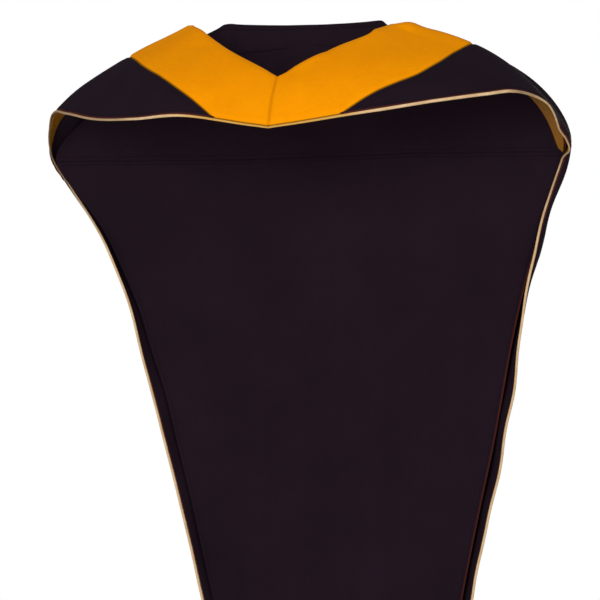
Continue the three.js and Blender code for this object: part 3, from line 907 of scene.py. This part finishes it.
def addPiping(name, ring):
    count = hood["lastPlace"] * piping["stepsPerSection"] + 1
    places = np.linspace(0, hood["lastPlace"], count)
    points, facings = clothAt(ring, places, 1.0)
    side = ring["side"]
    along = np.gradient(points, axis=0)
    along[0], along[-1] = (side, 0, 0), (-side, 0, 0)
    outward = unit(np.cross(along, facings)) * side
    radius = hood["pipingDiameter"] / 2
    shows = np.interp(places, *zip(*piping["shows"][name]))[:, None]
    under = np.interp(places, *zip(*piping["under"]))[:, None]
    centre = points + outward * (radius * shows + piping["hemGap"])
    centre = centre - facings * (hood["shellCloth"] / 2 + under)
    angles = np.linspace(0, 2 * np.pi, piping["corners"] + 1)
    turned = np.cos(angles)[:, None] * outward[:, None] + np.sin(angles)[:, None] * facings[:, None]
    loop = centre[:, None] + turned * radius * shows[:, None]
    loop[..., 0] = side * np.maximum(loop[..., 0] * side, piping["middleGap"])
    length = lengthsAlong(points[:, None], 0)
    uv = np.stack(np.broadcast_arrays(length, angles[None, :] * radius), -1)

    # The material's end fade carries the cord's painted shade, and its edge fade darkens the front tip.
    darkest, palest = grain["endSpan"]
    bright = 1 - np.interp(places, *zip(*piping["paintedShade"][name]))
    same = np.ones(loop.shape[1])
    marks = {
        "seam": np.ones(loop.shape[:2]),
        "edge": np.outer(places * piping["endFade"], same),
        "ends": np.outer(darkest + (palest - darkest) * bright, same),
    }
    node = f"{name}_piping"
    piece = gridPiece(f"{node}_cord", loop, uv, marks, materials["creamCord"])
    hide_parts(node)


# Yoke and back panel

# The pleats of the panel deepen between two heights. Each wave of them is given as its radians across and
# down, its phase and its size. The creases run down from the nape.
panel = {
    "sideStrips": 3,
    "middleStrips": 5,
    "bandStrips": 3,
    "shellStrips": 3,
    "facingStrips": 2,
    "seamStep": 0.25,
    "rowsPerStep": 4,
    "columnsPerStrip": 6,
    "roll": 0.0003,
    "seamGap": 0.00006,
    "napeShare": 0.125,  # of a strip, from the neck edge down to the yoke's second row
    "widestCorner": 0.75,  # of the way out from the middle to the edge
    "napeBack": 0.55,  # of the way back from the edge to the middle, at the nape and below it
    "cornerBack": 0.3,
    "widestSide": 0.3,  # of the way from the edge to the corner, for the arm strip
    "pleat": 0.0035,
    "pleatHeights": (-0.05, -0.45),
    "pleatWaves": [(9, 2, 0.6, 1.0), (17, -3, 2.1, 0.6)],
    "deepestDent": 0.002,
    "creaseAtNape": 0.25,
    "creases": [
        {"column": 5.3, "slant": 0.35, "rows": 5, "width": 0.22, "depth": 0.0035},
        {"column": 12.2, "slant": -0.4, "rows": 4, "width": 0.3, "depth": 0.0015},
        {"column": 8.6, "slant": 0.3, "rows": 3, "width": 0.4, "depth": 0.0012},
    ],
    "yokeFlat": (0.56, 0.17),
    "yokeArea": 0.066,
    "flat": (0.5, 0.8),
    "area": 0.245,
}

# The short strip beside the yoke's side seam on the left.
armStrip = {"taperStart": 0.45, "taper": 0.8, "flat": (0.01, 0.1), "area": 0.001}


# How far back the panel lies at a height.
def panelBack(height):
    downs, backs = zip(*panelProfile)
    share = np.interp(-height / hood["hoodLength"], downs, backs)
    return hood["napeReach"] + (hood["panelReach"] - hood["napeReach"]) * share


# The edge of the yoke and the panel on one side: the nape, the rib under the band, the rib under the shell
# and the seam along the hem.
def panelEdge(ring):
    start = hood["cowlStart"]
    edge = bandShares(ring, start)[0]
    underBand = np.linspace(0, edge, panel["bandStrips"] + 1)[1:]
    shellTop, lengths = shellStart(ring, np.array([float(start)]))
    hemStrip = facingShare(shellTop, lengths)[0]
    upper = np.linspace(shellTop[0], 1 - hemStrip, panel["shellStrips"] + 1)[1:]
    lower = np.linspace(1 - hemStrip, 1, panel["facingStrips"] + 1)[1:-1]
    seamPlaces = np.arange(start, hood["tailCorner"] + panel["seamStep"] / 2, panel["seamStep"])
    _, seamLengths = shellStart(ring, seamPlaces)
    napeDepth = hood["bandCloth"] + 2 * hood["panelCloth"]
    bandDepth = hood["bandCloth"] + hood["seamGap"]
    shellDepth = hood["shellCloth"] + hood["seamGap"] + 2 * hood["panelCloth"]
    rows = [
        clothAt(ring, start, np.array([0, underBand[0] * panel["napeShare"]]), napeDepth)[0],
        clothAt(ring, start, underBand, bandDepth)[0],
        clothAt(ring, start, np.concatenate([upper, lower]), shellDepth)[0],
        clothAt(ring, seamPlaces, 1 - hood["panelInset"] / seamLengths, shellDepth)[0],
    ]
    return np.concatenate(rows)


# Half a row of the panel, from its edge over a corner to the middle of the back. The arm strip's two edges
# are among its points.
def panelRow(edge, corner, middle):
    stripEnd = hood["armFacingInset"] + hood["armFacingWidth"]
    scale = min(1 / np.linalg.norm(edge - corner), panel["widestSide"] / stripEnd)
    inner = np.linspace(stripEnd * scale, 1, panel["sideStrips"] + 1)[:-1]
    side = np.concatenate([[0, hood["armFacingInset"] * scale], inner])[:, None]
    across = np.linspace(0, 1, panel["middleStrips"] + 1)[:, None]
    points = np.concatenate([edge + (corner - edge) * side, corner + (middle - corner) * across])
    points[len(side):, 1] = corner[1] + (middle[1] - corner[1]) * (across * (2 - across))[:, 0]
    return points


def panelGrid():
    rows = []
    for i, edges in enumerate(zip(panelEdge(rings["left"]), panelEdge(rings["right"]))):
        level = (edges[0][2] + edges[1][2]) / 2
        height = hood["napeRise"] if i == 0 else level
        middle = np.array([(edges[0][0] + edges[1][0]) / 2, panelBack(height), height])
        halves = []
        for edge in edges:
            inward = min(panel["widestCorner"], hood["napeWidth"] / 2 / abs(edge[0]))
            share = panel["napeBack"] if i == 0 else panel["cornerBack"]
            corner = np.array([edge[0] * inward, edge[1] + (middle[1] - edge[1]) * share, edge[2]])
            if i == 0:
                corner[2] = hood["napeRise"]
            elif i < 2 + panel["bandStrips"]:
                corner[2] -= hood["yokeDip"]
            halves.append(panelRow(edge, corner, middle))
        left, right = halves
        rows.append(np.concatenate([right, left[::-1][1:]]))
    return np.array(rows)


def addPanel():
    coarse = panelGrid()
    steps, strips = panel["rowsPerStep"], panel["columnsPerStrip"]
    rows, columns = coarse.shape[:2]
    points = alongCurve(coarse, np.linspace(0, rows - 1, (rows - 1) * steps + 1))
    fineColumns = np.linspace(0, columns - 1, (columns - 1) * strips + 1)
    points = alongCurve(points.transpose(1, 0, 2), fineColumns).transpose(1, 0, 2)
    facings = gridFacings(points)

    across = np.linspace(-1, 1, points.shape[1])[None]
    height = points[..., 2]
    waves = sum(
        size * np.sin(across * acrossTurns + phase + height * downTurns)
        for acrossTurns, downTurns, phase, size in panel["pleatWaves"]
    )
    lift = panel["pleat"] * waves * smooth(*panel["pleatHeights"], height) * (1 - across**2)
    rowNumber, columnNumber = np.meshgrid(*(np.arange(count) for count in points.shape[:2]), indexing="ij")
    begin = panel["creaseAtNape"]
    for crease in panel["creases"]:
        along = np.clip(1 - rowNumber / steps / crease["rows"], 0, 1)
        off = columnNumber / strips - crease["column"] - crease["slant"] * (1 - along)
        drawn = np.sqrt(along) * np.minimum(begin + (1 - begin) * rowNumber / steps, 1)
        lift = lift + crease["depth"] * drawn * np.exp(-((off / crease["width"]) ** 2))
    points = points - facings * np.maximum(lift, -panel["deepestDent"])[..., None]

    bandEnd = 1 + panel["bandStrips"]
    seamRow = bandEnd + panel["shellStrips"] + panel["facingStrips"]
    upper, lower = slice(0, seamRow * steps + 1), slice(seamRow * steps, None)
    below = points[lower].copy()
    below[0] += unit(below[1] - below[0]) * panel["seamGap"]
    cloth = materials["blackCloth"]
    pieces = [
        ("yoke", points[upper], facings[upper], panel["yokeFlat"], panel["yokeArea"], "draped"),
        ("back_panel", below, facings[lower], panel["flat"], panel["area"], "hung"),
    ]
    for node, outer, outward, flat, area, held in pieces:
        piece = wallPiece(f"{node}_cloth", outer, outward, hood["panelCloth"], cloth, panel["roll"])
        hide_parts(node)

    # The arm strip lies on the strip of columns beside the left edge, under the shell.
    besideShell = slice((bandEnd + 1) * steps, seamRow * steps + 1)
    besideEdge = slice((columns - 3) * strips, (columns - 2) * strips + 1)
    outward = facings[besideShell, besideEdge]
    outer = points[besideShell, besideEdge] - outward * (hood["panelCloth"] + hood["seamGap"])
    lowered = np.linspace(0, 1, outer.shape[0])[:, None, None]
    narrowed = 1 - armStrip["taper"] * smooth(armStrip["taperStart"], 1, lowered)
    outer = outer[:, -1:] + (outer - outer[:, -1:]) * narrowed
    piece = wallPiece("left_arm_facing_cloth", outer, outward, hood["facingCloth"], materials["shadedSatin"])
    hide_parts("left_arm_facing")


# Cowl lining

# The swags drift up and down and fade in and out in waves, each given as its radians across and down, its
# phase and its size.
lining = {
    "columns": 60,
    "tailGap": 0.04,
    "swag": 0.0055,
    "swags": 5.0,
    "driftWaves": [(1.7, 0, 0.4, 0.25), (0.8, 9, 1.1, 0.4)],
    "fadeWave": (-1, 11, 2, 0.35),
    "sideFade": 0.8,
    "topFade": 0.12,
    "lowFade": 0.55,
    "flat": (0.24, 0.44),
    "area": 0.06,
}


def addLining():
    places = placesBetween(hood["liningStart"], hood["tailCorner"] - lining["tailGap"])
    depth = hood["bandCloth"] + hood["seamGap"]
    left, _ = clothAt(rings["left"], places, 0.0, depth)
    right, _ = clothAt(rings["right"], places, 0.0, depth)
    lowered = np.linspace(0, 1, len(places))[:, None]
    height = left[:, 2:] - hood["liningSag"] * (1 - lowered)
    clear = panelBack(height) + hood["liningCloth"] + hood["liningSpace"]
    back = clear + (left[:, 1:2] - clear) * lowered
    across = np.linspace(-1, 1, lining["columns"] + 1)[None]
    share = (across[..., None] + 1) / 2
    points = right[:, None] + (left - right)[:, None] * share
    points[..., 1] += (back - points[..., 1]) * (1 - across**2)
    points[..., 2] += (height - points[..., 2]) * (1 - across**4)
    facings = gridFacings(points)

    def wave(acrossTurns, downTurns, phase, size):
        return size * np.sin(lowered * downTurns + across * acrossTurns + phase)

    drift = sum(wave(*values) for values in lining["driftWaves"])
    swag = lining["swag"] * (1 - np.cos(2 * np.pi * (lowered * lining["swags"] + drift))) / 2
    swag = swag * (1 - lining["fadeWave"][-1] + wave(*lining["fadeWave"]))
    drawn = (1 - across**2) ** lining["sideFade"]
    drawn = drawn * smooth(0, lining["topFade"], lowered) * smooth(0, lining["lowFade"], 1 - lowered)
    points = points + facings * (swag * drawn)[..., None]
    cloth = materials["goldSatin"]
    piece = wallPiece("cowl_lining_cloth", points, gridFacings(points), hood["liningCloth"], cloth)
    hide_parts("cowl_lining")


for name, ring in rings.items():
    addBand(name, ring)
    addShell(name, ring)
    addFacing(name, ring)
    addPiping(name, ring)
print("bands, shells, facings and piping made")
addPanel()
addLining()
print("panel and lining made")


# Stage

studio = {
    "floorHeight": -1.0,
    "floorRadius": 3.2,
    "floorCorners": 96,
    "floorColour": (0.86, 0.86, 0.86),
    "floorRoughness": 0.9,
    "worldLight": 0.34,
    "backdrop": 1.0,
    "aim": (0, 0.03, -0.15),
    "lights": {
        "key": {"place": (-0.5, -2.6, 0.3), "size": 1.4, "power": 46.0},
        "fill": {"place": (1.8, -1.8, 0.4), "size": 1.6, "power": 18.0},
        "rim": {"place": (0.4, 2.4, 1.6), "size": 1.6, "power": 9.0},
        "back": {"place": (0.3, 2.8, -0.1), "size": 1.6, "power": 34.0},
    },
}


def addLight(name, place, size, power):
    data = bpy.data.lights.new(name, "AREA")
    data.shape = "DISK"
    data.size = size
    data.energy = power
    light = bpy.data.objects.new(name, data)
    light.location = place
    aim = Vector(studio["aim"]) - Vector(place)
    light.rotation_euler = aim.to_track_quat("-Z", "Y").to_euler()
    light.visible_camera = False
    bpy.context.collection.objects.link(light)


# A pale floor, and a white backdrop that only the camera sees at full strength.
def addStage():
    form = bmesh.new()
    corners, radius = studio["floorCorners"], studio["floorRadius"]
    bmesh.ops.create_circle(form, cap_ends=True, segments=corners, radius=radius)
    mesh = bpy.data.meshes.new("floor")
    form.to_mesh(mesh)
    form.free()
    floor = bpy.data.objects.new("floor", mesh)
    floor.location = (0, 0, studio["floorHeight"])
    paint = bpy.data.materials.new("floorPaint")
    paint.use_nodes = True
    shader = paint.node_tree.nodes["Principled BSDF"]
    setInputs(shader, {"Base Color": (*studio["floorColour"], 1), "Roughness": studio["floorRoughness"]})
    mesh.materials.append(paint)
    bpy.context.collection.objects.link(floor)

    world = bpy.data.worlds.new("studio")
    world.use_nodes = True
    bpy.context.scene.world = world
    tree = world.node_tree
    background = tree.nodes["Background"]
    setInputs(background, {"Color": (1, 1, 1, 1)})
    path = addNode(tree, "ShaderNodeLightPath", "path", (-500, 0))
    strength = addNode(tree, "ShaderNodeMix", "strength", (-250, 0))
    setInputs(strength, {"A": studio["worldLight"], "B": studio["backdrop"]})
    tree.links.new(path.outputs["Is Camera Ray"], strength.inputs["Factor"])
    tree.links.new(strength.outputs["Result"], background.inputs["Strength"])

    for name, light in studio["lights"].items():
        addLight(name, **light)
    bpy.context.scene.view_settings.view_transform = "Standard"


addStage()
print("stage lit")
